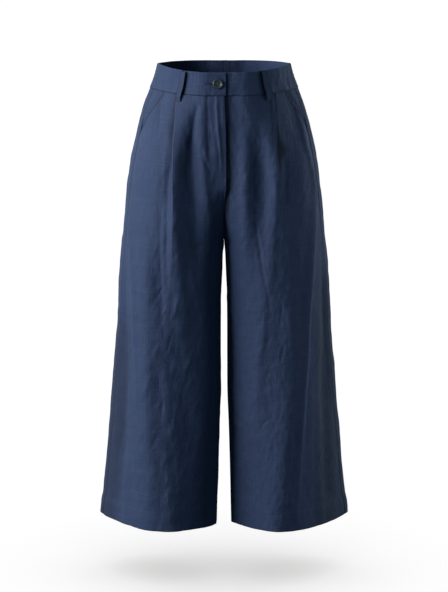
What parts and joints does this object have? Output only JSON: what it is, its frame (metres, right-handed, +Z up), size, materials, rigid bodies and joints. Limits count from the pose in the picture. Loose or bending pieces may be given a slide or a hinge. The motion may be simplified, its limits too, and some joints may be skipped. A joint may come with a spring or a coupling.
{
  "type": "culottes",
  "caption": "Wide-leg culottes worn open and hollow, with pleated fronts, slanted pockets, belt loops and a buttoned waistband over a fly.",
  "frame": {"origin": "centre of the waist, at the height of the waistband's top edge at centre front, where the wearer holds the garment up", "axes": "+Z up along the body, +X to the wearer's left, -Y to the garment's front"},
  "size_m": [0.4782, 0.2704, 0.872],
  "materials": {
    "navy_linen": "plain-woven navy linen with slubs and a slight sheen",
    "navy_linen_inside": "the same linen's wrong side",
    "zip_tape": "woven tape",
    "button_shell": "glossy blue-grey with a raised rim"
  },
  "bodies": {
    "root": {"back_left": "navy_linen", "back_right": "navy_linen", "belt_loop_back_left": "navy_linen", "belt_loop_back_right": "navy_linen", "belt_loop_centre_back": "navy_linen", "belt_loop_front_left": "navy_linen", "belt_loop_front_right": "navy_linen", "button": "button_shell", "fly_shield": "navy_linen_inside", "fly_zip": "zip_tape", "front_left": "navy_linen", "front_right": "navy_linen", "hem_left": "navy_linen_inside", "hem_right": "navy_linen_inside", "pocket_facing_left": "navy_linen", "pocket_facing_right": "navy_linen", "waistband_left": "navy_linen", "waistband_right": "navy_linen"}
  },
  "joints": []
}
